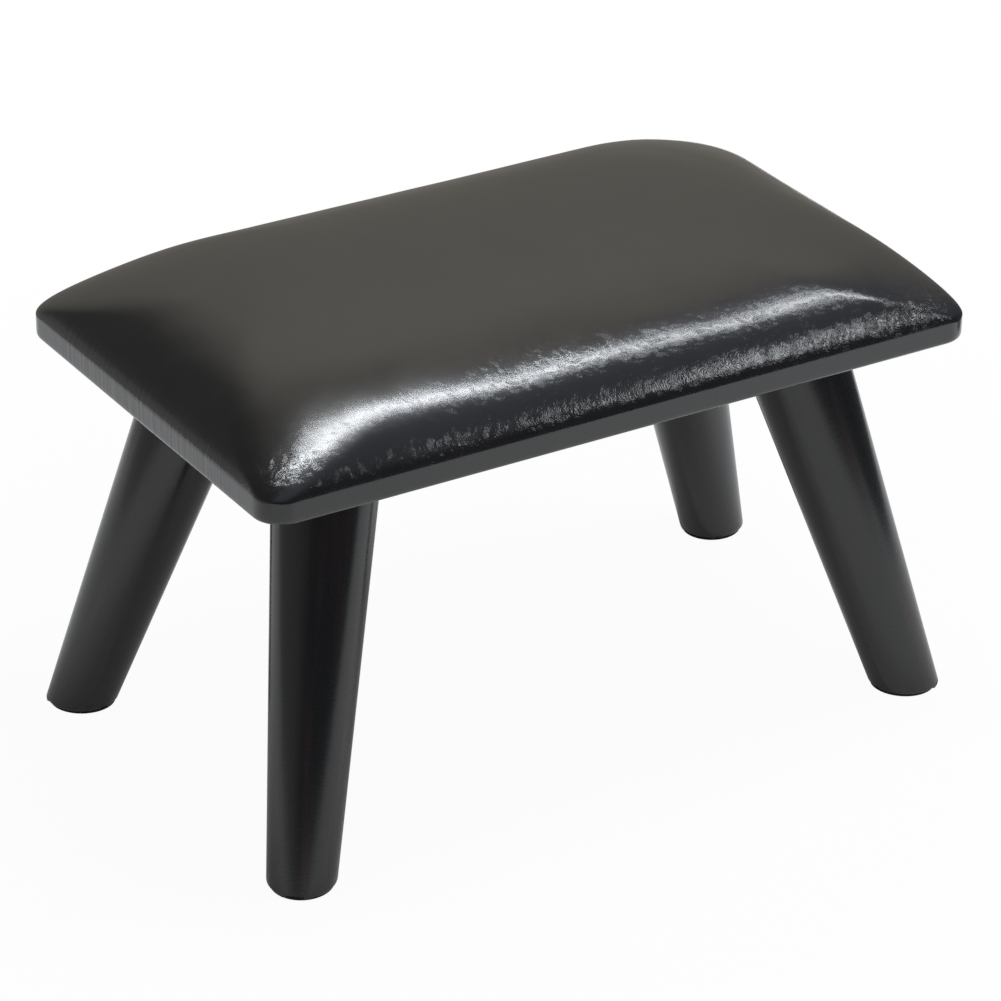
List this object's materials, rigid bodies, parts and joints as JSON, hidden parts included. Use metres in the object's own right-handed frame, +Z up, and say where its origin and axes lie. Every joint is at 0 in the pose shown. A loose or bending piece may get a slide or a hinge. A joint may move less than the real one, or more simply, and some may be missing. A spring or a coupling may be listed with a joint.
{
  "type": "footstool",
  "caption": "Low footstool with a crowned, padded rectangular seat in glossy black imitation leather on splayed, tapered black legs.",
  "frame": {"origin": "on the floor, under the centre of the seat", "axes": "+Z up, +X along the seat's long side, +Y to the rear: seen from the front, +X is to the right"},
  "size_m": [0.4194, 0.2512, 0.2621],
  "materials": {
    "cover_leather": "glossy oil-waxed imitation leather with a fine crackle grain",
    "foam": "open-cell upholstery foam",
    "plywood": "raw sanded plywood",
    "dust_cloth": "black non-woven cloth",
    "staple_wire": "galvanised flat wire",
    "leg_lacquer": "turned wood in black semi-gloss lacquer",
    "pad_rubber": "thin matte non-slip pad",
    "zinc_steel": "zinc-plated steel"
  },
  "bodies": {
    "root": {"leather_cover": "cover_leather", "foam_pad": "foam", "seat_board": "plywood", "dust_cover": "dust_cloth", "cover_staples": "staple_wire", "dust_cover_staples": "staple_wire", "leg_front_left": "leg_lacquer", "leg_front_right": "leg_lacquer", "leg_rear_left": "leg_lacquer", "leg_rear_right": "leg_lacquer", "foot_pad_front_left": "pad_rubber", "foot_pad_front_right": "pad_rubber", "foot_pad_rear_left": "pad_rubber", "foot_pad_rear_right": "pad_rubber", "hanger_bolt_front_left": "zinc_steel", "hanger_bolt_front_right": "zinc_steel", "hanger_bolt_rear_left": "zinc_steel", "hanger_bolt_rear_right": "zinc_steel", "tee_nut_front_left": "zinc_steel", "tee_nut_front_right": "zinc_steel", "tee_nut_rear_left": "zinc_steel", "tee_nut_rear_right": "zinc_steel"}
  },
  "joints": []
}
